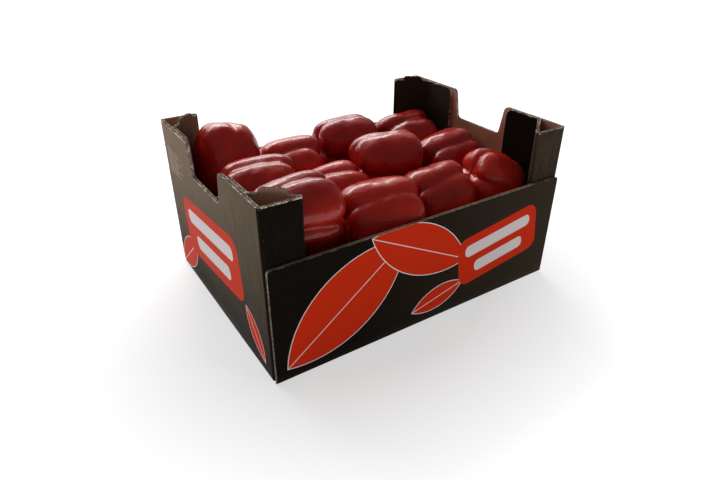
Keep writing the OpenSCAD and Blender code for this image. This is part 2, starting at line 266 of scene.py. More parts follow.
def turn_matrix(yaw, pitch, roll):
    turns = ((yaw, "Z"), (-pitch, "Y"), (roll, "X"))
    made = Matrix.Identity(3)
    for angle, axis in turns:
        made = made @ Matrix.Rotation(math.radians(angle), 3, axis)
    return np.array(made)


def plain_form(half_l, half_w, lean, from_stem, around, block):
    """Distance from a pepper's middle to its skin without lobes."""
    side, along = np.sin(from_stem), np.cos(from_stem)
    wide = half_w * (1 + TAPER * along)
    blocky = (np.abs(side) / wide) ** block + (np.abs(along) / half_l) ** block
    dimple = np.where(along > 0, CROWN_DIMPLE, TIP_DIMPLE) * np.exp(-((side / DIMPLE_WIDTH) ** 2))
    leaning = lean * np.cos(around - LEAN_ANGLE) * side
    return blocky ** (-1 / block) * (1 - dimple) * (1 + leaning)


def skin(half_l, half_w, lobes, lean, from_stem, around):
    """Distance from a pepper's middle to its skin, as in the part's source."""
    along = np.cos(from_stem)
    valley = ((1 + np.cos(lobes * around)) / 2) ** 3
    furrow = FURROW * (FURROW_SIDE + FURROW_END * along * along) * valley
    return plain_form(half_l, half_w, lean, from_stem, around, BLOCK) * (1 - furrow)


# Creases between lobes: depth as a share of the distance from the middle, by the count of lobes.
CREASE = {3: 0.175, 4: 0.15}
# How full the lobes are, how soft a crease is, and at the ends how much deeper it is and where it fades.
LOBE_FULL, CREASE_SOFT, END_MORE, END_FADE = 3.6, 0.06, 0.30, 0.3
# Bounds between which fruits differ in crease depth and size of lobes, and the sideways run of a crease.
CREASE_RANGE, LOBE_RANGE, WANDER = (0.75, 1.15), (0.955, 1.0), 0.08
# Peppers with creases of another depth or turned around the stem: share of the depth, and degrees.
CREASES = {
    "pepper_top_back_1": (0.4, 0),
    "pepper_top_middle_1": (1.1, -12),
    "pepper_top_front_1": (1.35, 0),
    "pepper_top_front_2": (0.85, -6),
}
# Peppers whose ends are rounder than the CAD node's.
BLOCKS = {"pepper_top_back_1": 2.5}
# Depth of red of some peppers in front, from deep at 0 to bright at 1.
TONES = {"pepper_top_front_1": 0.3, "pepper_top_front_2": 1.0}


def creased(half_l, half_w, lobes, lean, from_stem, around, ways):
    """The same distance with full lobes that meet in narrow creases."""
    depths, sizes, phase, turned, block = ways
    side, along = np.sin(from_stem), np.cos(from_stem)
    run = around - turned + WANDER * np.sin(2 * from_stem + phase) * side
    turns = run * lobes / (2 * np.pi)
    nearest = np.round(turns)
    from_crease = np.sqrt((turns - nearest) ** 2 + (CREASE_SOFT / 2) ** 2)
    from_crest = 1 - 2 * np.clip(from_crease, 0, 0.5)
    depth = CREASE[lobes] * depths[nearest.astype(int) % lobes] * (1 + END_MORE * along * along)
    size = np.interp(turns - 0.5, np.arange(lobes), sizes, period=lobes)
    lobe = (1 - depth * from_crest**LOBE_FULL) * size
    lobe = 1 - (1 - lobe) * np.clip(side / END_FADE, 0, 1)
    return plain_form(half_l, half_w, lean, from_stem, around, block) * lobe


def spread(reach, from_stem, around):
    """Points at a distance from the middle, in the pepper's own axes with the stem along X."""
    out = reach * np.sin(from_stem)
    return np.stack([reach * np.cos(from_stem), out * np.cos(around), out * np.sin(around)], -1)


def cad_points(half_l, half_w, lobes, lean):
    """The points of the pepper's CAD node, in its own axes."""
    around = np.arange(CAD_AROUND) * 2 * np.pi / CAD_AROUND
    points = []
    for i in range(1, CAD_RINGS + 1):
        from_stem = np.full(CAD_AROUND, math.pi * i / (CAD_RINGS + 1))
        points.append(spread(skin(half_l, half_w, lobes, lean, from_stem, around), from_stem, around))
    for share, radius in ((STEM_REACH, STEM_D / 2), (STEM_ROOT, STEM_D / 2 * STEM_FLARE)):
        ring = [np.full(CAD_AROUND, half_l * share), radius * np.cos(around), radius * np.sin(around)]
        points.append(np.stack(ring, -1))
    tip = skin(half_l, half_w, lobes, lean, np.array([math.pi]), np.array([2 * np.pi / CAD_AROUND]))
    points.append(np.array([[-tip[0], 0, 0]]))
    return np.concatenate(points)


def rings_mesh(rings, first, last):
    """Points and faces of a skin over rings of equal count, closed by a point at either end."""
    count = len(rings[0])
    points = [p for ring in rings for p in ring]
    faces = []
    for i in range(len(rings) - 1):
        for k in range(count):
            a, b = i * count + k, i * count + (k + 1) % count
            faces.append((a, a + count, b + count, b))
    for pole, start, flip in ((first, 0, False), (last, (len(rings) - 1) * count, True)):
        points.append(pole)
        for k in range(count):
            a, b = start + k, start + (k + 1) % count
            faces.append((len(points) - 1, b, a) if flip else (len(points) - 1, a, b))
    return np.array(points), faces


SKIN_AROUND, SKIN_RINGS = 96, 60
SKIN_DRAW_IN = 0.988
FIRST_SEED = 11
# The angle around the stem at which the ends of a skin are measured.
POLE_AROUND = 0.1
# Sets of waves in a skin: how many, their share of the distance from the middle, and their closeness.
WAVES = ((9, 0.0125, 2.5, 5.5), (16, 0.0020, 9.0, 20.0))


def uneven(rng, points):
    """A smooth unevenness of a skin, as a share of the distance from the middle."""
    way = points / np.linalg.norm(points, axis=-1, keepdims=True)
    total = np.zeros(way.shape[:-1])
    for count, share, least, most in WAVES:
        for _ in range(count):
            axis = rng.normal(size=3)
            axis /= np.linalg.norm(axis)
            total += share * np.sin(rng.uniform(least, most) * (way @ axis) + rng.uniform(0, 2 * np.pi))
    return total


def pepper_skin(name, form, turn, place, rng, material):
    around = np.arange(SKIN_AROUND) * 2 * np.pi / SKIN_AROUND
    node = name.removesuffix("_skin")
    share, turned = CREASES.get(node, (1.0, 0))
    depths = rng.uniform(*CREASE_RANGE, form[2]) * share
    sizes, phase = rng.uniform(*LOBE_RANGE, form[2]), rng.uniform(0, 2 * np.pi)
    ways = (depths, sizes, phase, math.radians(turned), BLOCKS.get(node, BLOCK))
    rings = []
    for i in range(1, SKIN_RINGS + 1):
        from_stem = np.full(SKIN_AROUND, math.pi * i / (SKIN_RINGS + 1))
        rings.append(spread(creased(*form, from_stem, around, ways), from_stem, around))
    crown, tip = (skin(*form, np.array([end]), np.array([POLE_AROUND]))[0] for end in (0.0, math.pi))
    crown, tip = np.array([crown, 0, 0]), np.array([-tip, 0, 0])
    own, faces = rings_mesh(rings, crown, tip)
    waves, most = uneven(rng, own), 1 - SKIN_DRAW_IN
    shares = SKIN_DRAW_IN + np.where(waves > 0, most * np.tanh(waves / most), waves)
    own = own * shares[:, None]
    attributes = {"own": own, "tone": np.full(len(own), TONES.get(node, rng.uniform()))}
    return mesh_object(name, own @ turn.T + place, faces, [material], attributes=attributes, sharp=180)


STEM_AROUND = 40
# Calyx: count of sepals, angle of its rim from the stem and what a sepal adds to it, in degrees.
SEPALS, CALYX_RIM, SEPAL_REACH = 5, 13.0, 5.5
# Rings of the calyx, from the rim in: share of the rim's angle, and height over the skin.
CALYX = ((1.0, -0.6), (0.97, 0.45), (0.8, 0.8), (0.6, 0.9), (0.46, 1.1))
CALYX_ROOT = 6.0
# Rings of the stem, from its foot out: share of its length, and radius.
STEM = ((0.25, 5.6), (0.6, 4.9), (0.9, 5.0), (1.0, 4.7))
STEM_RIBS, STEM_RIB_SHARE = 6, 0.07
# The cut end: how far short of the CAD stem it stops, and its inner ring and middle.
STEM_SHORT, CUT_R, CUT_SINK, CUT_MIDDLE = 0.2, 3.6, 0.15, 0.5


def pepper_stem(name, form, turn, place, material):
    """The calyx that lies in the crown and the cut stem that stands on it."""
    around = np.arange(STEM_AROUND) * 2 * np.pi / STEM_AROUND
    rim = np.radians(CALYX_RIM + SEPAL_REACH * (0.5 + 0.5 * np.cos(SEPALS * around)))
    rings = []
    for share, lift in CALYX:
        from_stem = rim * share
        rings.append(spread(skin(*form, from_stem, around) * SKIN_DRAW_IN + lift, from_stem, around))
    foot = np.mean([p[0] for p in rings[-1]])
    end = form[0] * STEM_REACH - STEM_SHORT
    ribs = 1 + STEM_RIB_SHARE * np.cos(STEM_RIBS * around)
    stem = [(foot + (end - foot) * share, radius * ribs) for share, radius in STEM]
    for along, radius in stem + [(end - CUT_SINK, CUT_R)]:
        ring = [np.full(STEM_AROUND, along), radius * np.cos(around), radius * np.sin(around)]
        rings.append(np.stack(ring, -1))
    outer, root = np.array([end - CUT_MIDDLE, 0, 0]), np.array([foot - CALYX_ROOT, 0, 0])
    own, faces = rings_mesh(rings[::-1], outer, root)
    return mesh_object(name, own @ turn.T + place, faces, [material], attributes={"own": own}, sharp=60)


DEEP_RED, BRIGHT_RED = (0.310, 0.0065, 0.0045, 1), (0.570, 0.0195, 0.0085, 1)
STREAK_RED, WARM_RED, SPECK_RED = (0.50, 0.020, 0.011, 1), (0.63, 0.072, 0.011, 1), (0.48, 0.05, 0.03, 1)
DEEP_GREEN, PALE_GREEN = (0.060, 0.105, 0.022, 1), (0.135, 0.175, 0.050, 1)
RIB_GREEN = (0.22, 0.22, 0.09, 1)


def skin_material():
    """Red skin: broad clouds, streaks along the fruit, fine specks and shallow dimples."""
    g = Graph("pepper_skin")
    own = g.stretched(g.attribute("own"), MM, MM, MM)
    tone = g.attribute("tone", "Fac")
    broad = g.noise(own, 22.0, 2.0)
    streak = g.noise(g.stretched(own, 0.22, 1.0, 1.0), 210.0, 3.0, 0.6)
    fine = g.noise(own, 900.0, 2.0)
    red = g.mix(g.ramp(g.add(broad, g.mul(tone, 0.4)), 0.42, 0.95), DEEP_RED, BRIGHT_RED)
    red = g.mix(g.mul(g.ramp(streak, 0.52, 0.75), 0.30), red, STREAK_RED)
    red = g.mix(g.mul(g.ramp(broad, 0.60, 0.78), 0.35), red, WARM_RED)
    red = g.mix(g.mul(g.ramp(fine, 0.68, 0.78), 0.25), red, SPECK_RED)
    g.set(Base_Color=red, Specular_IOR_Level=0.45)
    g.set(Roughness=g.ramp(g.noise(own, 60.0, 3.0), 0.3, 0.7, 0.18, 0.29))
    dimples = g.noise(g.stretched(own, 0.6, 1.0, 1.0), 150.0, 2.0, 0.45)
    g.bump(g.add(dimples, g.mul(streak, 0.12)), 0.50, 0.0012)
    return g.material


def stem_material():
    """Green calyx and stem with paler ribs."""
    g = Graph("pepper_stem")
    own = g.stretched(g.attribute("own"), MM, MM, MM)
    broad = g.noise(own, 120.0, 3.0)
    ribs = g.noise(g.stretched(own, 0.2, 1.0, 1.0), 700.0, 2.0)
    green = g.mix(broad, DEEP_GREEN, PALE_GREEN)
    green = g.mix(g.mul(g.ramp(ribs, 0.5, 0.75), 0.5), green, RIB_GREEN)
    g.set(Base_Color=green, Roughness=g.ramp(ribs, 0.3, 0.7, 0.5, 0.7), Specular_IOR_Level=0.3)
    g.bump(ribs, 0.4, 0.0006)
    return g.material


def build_peppers():
    """Skins and stems, each placed by the lowest corner of its CAD node's box."""
    red, green = skin_material(), stem_material()
    for number, (node, row) in enumerate(PEPPERS.items()):
        yaw, pitch, roll, long_share, wide_share, lobes, lean = row
        width = wide_share * (min(FRUIT_L, FRUIT_W) if abs(pitch) > UPRIGHT else FRUIT_W)
        form = (FRUIT_L * long_share / (2 * END_SHARE), width / 2, lobes, lean)
        turn = turn_matrix(yaw, pitch, roll)
        corner = (cad_points(*form) @ turn.T).min(0)
        place = np.array(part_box(node)[0]) / MM - corner
        rng = np.random.default_rng(number + FIRST_SEED)
        fruit = pepper_skin(node + "_skin", form, turn, place, rng, red)
        stem = pepper_stem(node + "_stem", form, turn, place, green)
        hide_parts(node)
        for piece in (fruit, stem):
            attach(piece, "root")


# Carton


def rounded(corners, steps=6):
    """An outline whose inner corners, given as (x, y, radius), are rounded."""
    made = []
    for i, (x, y, radius) in enumerate(corners):
        here = np.array([x, y])
        if radius == 0 or i in (0, len(corners) - 1):
            made.append(here)
            continue
        before = np.array(corners[i - 1][:2]) - here
        after = np.array(corners[i + 1][:2]) - here
        before, after = before / np.hypot(*before), after / np.hypot(*after)
        half = math.acos(np.clip(before @ after, -1, 1)) / 2
        middle = here + (before + after) / np.hypot(*(before + after)) * radius / math.sin(half)
        start = here + before * radius / math.tan(half) - middle
        end = here + after * radius / math.tan(half) - middle
        sweep = math.atan2(start[0] * end[1] - start[1] * end[0], start @ end)
        for k in range(steps + 1):
            cos, sin = math.cos(sweep * k / steps), math.sin(sweep * k / steps)
            made.append(middle + np.array([[cos, -sin], [sin, cos]]) @ start)
    return made


FOLD_WEAR = 0.75
# Angles that step around a rounded corner of a sheet, in degrees.
QUARTER = range(0, 91, 15)
# A step that stands for an upright edge.
HAIR = 0.05


class Path:
    """The printed face of a standing sheet in plan: places, outward normals, top, foot and wear."""

    def __init__(self):
        self.rows = []

    def to(self, place, normal, top, foot=BOARD, wear=0.0):
        self.rows.append((*place, *normal, top, foot, wear))

    def arc(self, centre, radius, start, end, top, foot, inward=False, steps=7):
        for k in range(1, steps):
            angle = math.radians(start + (end - start) * k / steps)
            way = np.array([math.cos(angle), math.sin(angle)])
            self.to(centre + way * radius, -way if inward else way, top, foot, FOLD_WEAR)

    def table(self):
        rows = np.array(self.rows)
        steps = np.hypot(*(rows[1:, :2] - rows[:-1, :2]).T)
        along = np.concatenate([[0], np.cumsum(steps)])
        return rows, along


def post_path(path):
    """Adds a post from its corner fold to the end of its glued flap, in the post's own plan."""
    corner = np.array([FOLD_OUT, FOLD_OUT])
    flap = (0.0, -1.0)
    path.arc(corner, FOLD_OUT, 180, 270, POST_H, BOARD)
    for share in (0.0, 0.25, 0.5, 0.75, 1.0):
        path.to((FOLD_OUT + (APEX[0] - FOLD_OUT) * share, 0.0), flap, POST_H)
    path.arc(APEX, FOLD_OUT, -90, 90 - math.degrees(SLANT), POST_H, BOARD)
    start = APEX + SLANT_OUT * FOLD_OUT
    recess = SLOT_W / 2 + TAB_PLAY
    half = SLANT_L / 2
    places = [-half, -recess, -recess + HAIR, -TAB_FOOT / 2, -TAB_TOP / 2, 0.0]
    places += [-p for p in places[-2::-1]]
    for p in places:
        slope = np.clip((TAB_FOOT / 2 - abs(p)) / ((TAB_FOOT - TAB_TOP) / 2), 0, 1)
        foot = SLOT_H if abs(p) < recess - HAIR / 2 else BOARD
        path.to(start + SLANT_WAY * (p + half), SLANT_OUT, POST_H + TAB_H * slope, foot)
    path.arc(HEEL, FOLD_IN, 270 - math.degrees(SLANT), 180, POST_H, BOARD, inward=True)
    flap_u = HEEL[0] - FOLD_IN
    for share in (0.0, 0.5, 1.0):
        path.to((flap_u, HEEL[1] + (GLUE_END - GLUE_R - HEEL[1]) * share), (1.0, 0.0), POST_H)
    for angle in QUARTER[1:]:
        cos, sin = math.cos(math.radians(90 - angle)), math.sin(math.radians(90 - angle))
        top = POST_H - GLUE_R * (1 - sin)
        path.to((flap_u, GLUE_END - GLUE_R + GLUE_R * cos), (1.0, 0.0), top)


# From the middle of an end wall to its corner fold.
WALL_END = FLAP_Y - FOLD_OUT
# How far the extra points of its rim keep from the others, beside the notch and on its floor.
LIP_CLEAR, FLOOR_CLEAR = (4.0, 3.0), (8.0, 2.0)


def end_path():
    """The strip of an end wall and its two posts, in X and Y of the carton, for the end at +X."""
    half = Path()
    post_path(half)
    floor = POST_H - NOTCH_D
    outline = rounded([
        (0.0, floor, 0), (NOTCH_FLOOR / 2, floor, NOTCH_FLOOR_R),
        (NOTCH_TOP / 2, POST_H, NOTCH_LIP_R), (WALL_END, POST_H, 0),
    ])
    wall = [(y, z) for y, z in outline]
    lip, foot = NOTCH_TOP / 2 + NOTCH_LIP_R, NOTCH_FLOOR / 2 - NOTCH_FLOOR_R
    extra = [(y, POST_H) for y in np.linspace(lip + LIP_CLEAR[0], WALL_END - LIP_CLEAR[1], 6)]
    extra += [(y, floor) for y in np.linspace(FLOOR_CLEAR[0], foot - FLOOR_CLEAR[1], 4)]
    wall = sorted(wall + extra)
    full = Path()
    for u, v, nu, nv, top, foot, wear in half.rows[::-1]:
        full.to((HALF_L - u, -(FLAP_Y - v)), (-nu, nv), top, foot, wear)
    for y, z in [(-y, z) for y, z in wall[:0:-1]] + wall:
        full.to((HALF_L, y), (1.0, 0.0), z, 0.0)
    for u, v, nu, nv, top, foot, wear in half.rows:
        full.to((HALF_L - u, FLAP_Y - v), (-nu, -nv), top, foot, wear)
    return full


LONG_CLEAR = 12.0


def long_path():
    """A long wall, for the front."""
    path = Path()
    end = HALF_L - WALL_INSET
    corner = [WALL_R * (1 - math.cos(math.radians(angle))) for angle in QUARTER]
    drop = [WALL_R * (1 - math.sin(math.radians(angle))) for angle in QUARTER]
    left = [(-end + c, WALL_H - d) for c, d in zip(corner, drop)]
    middle = [(x, WALL_H) for x in np.linspace(-end + LONG_CLEAR, end - LONG_CLEAR, 26)]
    for x, top in left + middle + [(-x, top) for x, top in left[::-1]]:
        path.to((x, -HALF_W), (0.0, -1.0), top, 0.0)
    return path


# Rows of a sheet: those in the fold at its foot take this share of the height, and two lie under the rim.
FOOT_SHARE = 0.02
RISE = np.concatenate([np.linspace(0, 1, 5)[:-1] * FOOT_SHARE, np.linspace(FOOT_SHARE, 1, 12)])
NEAR_TOP = (6.0, 2.5)
PRINT_END, KRAFT, RAW, PRINT_BASE, PRINT_LONG = range(5)


def heights(top, foot):
    """Rows of a sheet from its foot to its top edge, closer together at the fold and at the rim."""
    under = top - NEAR_TOP[0]
    return np.concatenate([foot + (under - foot) * RISE, [top - NEAR_TOP[1], top]])


def fold_back(z, foot):
    """How far the printed face draws in where the sheet folds under into the base."""
    if foot > 0 or z >= FOLD_OUT:
        return 0.0
    return FOLD_OUT - math.sqrt(FOLD_OUT**2 - (FOLD_OUT - z) ** 2)


class Shell:
    """Points, faces and attributes of the carton's mesh while it is built."""

    def __init__(self):
        self.points, self.sheet, self.wear = [], [], []
        self.faces, self.kinds = [], []

    def point(self, place, sheet, wear=0.0):
        self.points.append(place)
        self.sheet.append(sheet)
        self.wear.append(wear)
        return len(self.points) - 1

    def face(self, corners, kind):
        self.faces.append(tuple(corners))
        self.kinds.append(kind)

    def grid(self, rows, kind, flip=False):
        for a, b in zip(rows[:-1], rows[1:]):
            for k in range(len(a) - 1):
                corners = (a[k], b[k], b[k + 1], a[k + 1])
                self.face(corners[::-1] if flip else corners, kind)


# Wear of the print at rims and at the folds of the base, and the share of a fold's wear below its rim.
RIM_WEAR, FOOT_WEAR, UNDER_WEAR = 1.0, 0.5, 0.8


def add_sheet(shell, path, turn, kind):
    """A standing corrugated sheet: printed and kraft faces, and a rim with liners and a groove."""
    rows, along = path.table()
    along = along - along[-1] / 2
    printed, kraft, rims = [], [], []
    for (x, y, nx, ny, top, foot, wear), s in zip(rows, along):

        def at(depth, z, in_by=0.0):
            back = depth + in_by
            flat = turn @ np.array([x - nx * back, y - ny * back])
            return (flat[0], flat[1], z)

        face = []
        for z in heights(top, foot):
            worn = RIM_WEAR if z == top else wear * UNDER_WEAR
            if foot == 0 and z < FOLD_OUT:
                worn = max(worn, FOOT_WEAR)
            face.append(shell.point(at(0.0, z, fold_back(z, foot)), (s, z, 0.0), worn))
        inside = []
        for z in heights(top, max(foot, BOARD)):
            inside.append(shell.point(at(BOARD, z), (s, z, BOARD)))
        profile = ((LINER, top), (LINER, top - GROOVE), (BOARD - LINER, top - GROOVE), (BOARD - LINER, top))
        rim = [shell.point(at(d, z), (s, z, d), RIM_WEAR) for d, z in profile]
        printed.append(face)
        kraft.append(inside)
        rims.append([face[-1], *rim, inside[-1]])
    shell.grid(printed, kind)
    shell.grid(kraft, KRAFT, flip=True)
    shell.grid(rims, RAW)
    for end in (0, -1):
        loop = printed[end][:-1] + rims[end] + kraft[end][-2::-1]
        shell.face(loop if end else loop[::-1], RAW)
    feet = [(outer[0], inner[0]) for outer, inner in zip(printed, kraft)]
    for a, b in zip(feet[:-1], feet[1:]):
        shell.face((*a, *b[::-1]), RAW)
    add_medium(shell, rows, along, turn)


MEDIUM_STEP, MEDIUM_CLEAR = 0.8, 0.02


def add_medium(shell, rows, along, turn):
    """The wavy middle ply that stands between the liners at a sheet's rim."""
    stations = np.arange(along[0] + MEDIUM_STEP, along[-1] - MEDIUM_STEP, MEDIUM_STEP)
    values = [np.interp(stations, along, rows[:, i]) for i in range(5)]
    swing = BOARD / 2 - LINER - MEDIUM / 2 - MEDIUM_CLEAR
    middle = BOARD / 2 + swing * np.sin(2 * np.pi * stations / FLUTE_PITCH)
    strip = []
    for s, x, y, nx, ny, top, depth in zip(stations, *values, middle):
        corners = []
        for side, z in ((-1, -GROOVE), (-1, -MEDIUM_SINK), (1, -MEDIUM_SINK), (1, -GROOVE)):
            back = depth + side * MEDIUM / 2
            flat = turn @ np.array([x - nx * back, y - ny * back])
            corners.append(shell.point((flat[0], flat[1], top + z), (s, top + z, back), RIM_WEAR))
        strip.append(corners)
    shell.grid(strip, RAW)


SAME_POINT = 1e-5


def add_base(shell):
    """The base between its folds, with a slot at the foot of each post."""
    long, wide = HALF_L - FOLD_OUT, HALF_W - FOLD_OUT
    middle = APEX + SLANT_OUT * (FOLD_IN + BOARD / 2) + SLANT_WAY * SLANT_L / 2
    way, out = SLANT_WAY * SLOT_W / 2, SLANT_OUT * SLOT_T / 2
    loops = [[(-long, -wide), (long, -wide), (long, wide), (-long, wide)]]
    for sx in (-1, 1):
        for sy in (-1, 1):
            corners = [middle + way + out, middle - way + out, middle - way - out, middle + way - out]
            loops.append([(sx * (HALF_L - u), sy * (FLAP_Y - v)) for u, v in corners])
    flat = [Vector(p) for loop in loops for p in loop]
    rings, start = [], 0
    for loop in loops:
        rings.append(list(range(start, start + len(loop))))
        start += len(loop)
    edges = [(ring[k], ring[(k + 1) % len(ring)]) for ring in rings for k in range(len(ring))]
    spots, _, triangles, *_ = delaunay_2d_cdt(flat, edges, [], 0, SAME_POINT)
    holes = [np.array(loop) for loop in loops[1:]]

    def in_hole(spot):
        for hole in holes:
            turns = []
            for k in range(len(hole)):
                a, b = hole[k], hole[(k + 1) % len(hole)]
                turns.append((b[0] - a[0]) * (spot[1] - a[1]) - (b[1] - a[1]) * (spot[0] - a[0]))
            if min(turns) > 0 or max(turns) < 0:
                return True
        return False

    low = [shell.point((p.x, p.y, 0.0), (p.x, p.y, 0.0)) for p in spots]
    high = [shell.point((p.x, p.y, BOARD), (p.x, p.y, BOARD)) for p in spots]
    borders = {}
    for triangle in triangles:
        centre = sum((spots[k] for k in triangle), Vector((0, 0))) / 3
        if in_hole(centre):
            continue
        shell.face([high[k] for k in triangle], KRAFT)
        shell.face([low[k] for k in triangle][::-1], PRINT_BASE)
        for a, b in zip(triangle, triangle[1:] + triangle[:1]):
            borders[(a, b)] = (b, a) not in borders or borders.pop((b, a)) is None
    for a, b in borders:
        shell.face((low[a], low[b], high[b], high[a]), RAW)


# Print: fields of colour and simple shapes on the outer faces.

INK = (0.0085, 0.0058, 0.0040, 1)
RED = (0.660, 0.0310, 0.0062, 1)
PALE = (0.80, 0.71, 0.715, 1)
# Brown painted light on the dark ink: sheen on the end sheets, and lighter towards one end of the long
# walls.
PAINTED_LIGHT_BROWN = (0.225, 0.160, 0.102, 1)
# Along an end sheet, from the middle of the wall: where the slants begin, and where the painted sheen ends.
SLANT_FROM = WALL_END + FOLD_OUT * math.pi / 2 + APEX[0] - FOLD_OUT + FOLD_OUT * (math.pi - SLANT)
PAINTED_SHEEN_END = SLANT_FROM + SLANT_L
# Painted sheen on the ink: from where to where it grows with height and along an end sheet, and the shares
# it grows to.
PAINTED_SHEEN_UP, PAINTED_SHEEN_TOP, PAINTED_SHEEN_ALONG, PAINTED_SHEEN_SIDES = (20.0, 190.0), 0.72, (-120.0, 120.0), (1.6, 0.8)
# What is left of it on a post's outer panel and on a slant at the right end, and the share on other slants.
PAINTED_SHEEN_PANEL, PAINTED_SHEEN_RIGHT, PAINTED_SHEEN_SLANT = 0.2, 0.1, 0.1
# Painted light on the ink of a long wall: where it grows along the wall, and its most.
PAINTED_LIGHT_LONG, PAINTED_LIGHT_LONG_MOST = (-100.0, 190.0), 0.14
# Colours of streaks, scuffs and worn folds in the print.
STREAK_BROWN, SCUFF_BROWN = (0.20, 0.165, 0.13, 1), (0.25, 0.20, 0.15, 1)
WORN_BROWN = (0.27, 0.205, 0.145, 1)
OUTLINE = 1.1
# Leaves and labels: middle, turn in degrees, length and width.
FRONT_LEAVES = (
    ((-110, 71), 37, 184, 84),
    ((-14, 104), -27, 150, 62),
    ((14, 30), 14, 78, 30),
)
END_LEAVES = (((-104, 34), 40, 92, 40), ((104, 40), 128, 64, 26))
FRONT_LABEL = ((106, 72), 9, 128, 66)
END_LABEL = ((-8, 92), 6, 176, 76)
# A label's corner, and the height and corner of its bands, as shares of its width.
LABEL_R, BAND_W, BAND_R = 0.22, 0.24, 0.1
# The bands: how far from the label's middle, as a share of its width, and their share of its length.
BANDS = ((0.2, 0.82), (-0.2, 0.62))
# Ruled lines: middle of the block, length, count, pitch, half thickness and strength.
RULES_AT, RULES_L, RULES, RULE_PITCH, RULE_HALF, RULE_SHARE = (-103, 158), 52, 9, 3.6, 0.45, 0.42
# Ends of the lines: their mean and swing as shares of the block's length, and the step of the swing.
RULE_END, RULE_SWING, RULE_TURN = 0.3, 0.16, 2.4


def draw_leaf(g, colour, along, up, leaf):
    middle, turn, length, width = leaf
    x, y = g.local(along, up, middle, turn)
    border = g.leaf(x, y, length, width)
    colour = g.mix(g.within(border), colour, RED)
    vein = g.mul(g.line(y, OUTLINE), g.within(border))
    return g.mix(g.math("MAXIMUM", vein, g.line(border, OUTLINE)), colour, PALE)


def draw_label(g, colour, along, up, label):
    """A red label with two blank pale bands."""
    middle, turn, length, width = label
    x, y = g.local(along, up, middle, turn)
    colour = g.mix(g.within(g.plate(x, y, length, width, width * LABEL_R)), colour, RED)
    for share, size in BANDS:
        band = g.plate(x, g.sub(y, width * share), length * size, width * BAND_W, width * BAND_R)
        colour = g.mix(g.within(band), colour, PALE)
    return colour


def draw_rules(g, colour, along, up):
    """A block of thin ruled lines of uneven length."""
    x, y = g.local(along, up, RULES_AT, 0)
    row = g.math("ABSOLUTE", g.math("WRAP", y, RULE_PITCH / 2, -RULE_PITCH / 2))
    number = g.math("ROUND", g.mul(y, 1 / RULE_PITCH))
    swing = g.mul(g.math("SINE", g.mul(number, RULE_TURN)), RULE_SWING * RULES_L)
    block = g.within(g.plate(x, y, RULES_L, RULE_PITCH * RULES, RULE_HALF))
    block = g.mul(block, g.within(x, g.add(swing, RULE_END * RULES_L)))
    return g.mix(g.mul(g.mul(g.within(row, RULE_HALF), block), RULE_SHARE), colour, PALE)


def painted_sheen_of_end(g, along, up, streak):
    """Share of brown painted sheen in the ink of an end sheet: most at the top, little on a post's outer
    panels.
    """
    wall = g.mul(g.within(along, WALL_END), g.beyond(along, -PAINTED_SHEEN_END))
    sheen_share = g.mul(g.ramp(up, *PAINTED_SHEEN_UP, 0.0, PAINTED_SHEEN_TOP), g.ramp(streak, 0.3, 0.7, 0.55, 1.2))
    sheen_share = g.mul(g.mul(sheen_share, wall), g.ramp(along, *PAINTED_SHEEN_ALONG, *PAINTED_SHEEN_SIDES))
    panel = g.mul(g.within(along, -WALL_END), g.beyond(along, -SLANT_FROM))
    sheen_share = g.mul(sheen_share, g.ramp(panel, 0.0, 1.0, 1.0, PAINTED_SHEEN_PANEL))
    at_right = g.beyond(g.parts(g.node("ShaderNodeTexCoord").outputs["Object"])[0], 0.0)
    slant = g.mul(g.within(along, -SLANT_FROM), at_right)
    sheen_share = g.mul(sheen_share, g.ramp(slant, 0.0, 1.0, 1.0, PAINTED_SHEEN_RIGHT))
    return g.math("MAXIMUM", sheen_share, g.mul(g.beyond(along, SLANT_FROM), PAINTED_SHEEN_SLANT))


def painted_light_of_long(g, along):
    """Share of brown painted light in the ink of a long wall, which grows to one side."""
    return g.ramp(along, *PAINTED_LIGHT_LONG, 0.0, PAINTED_LIGHT_LONG_MOST)


# Ragged pale ticks where the liner is torn at a rim: colour, share, and the wear from which they show.
TICK, TICK_SHARE, TICK_WEAR = (0.86, 0.76, 0.66, 1), 0.95, (0.64, 0.80)
# Their share on what is no higher than the long walls.
TICK_LOW = 0.15


def draw_ticks(g, place, up):
    """Share of torn liner at a rim, most on the posts and end walls."""
    torn = g.ramp(g.noise(place, 210.0, 3.0, 0.65), 0.51, 0.57)
    return g.mul(torn, g.ramp(up, WALL_H, WALL_H + NOTCH_LIP_R, TICK_LOW, TICK_SHARE))


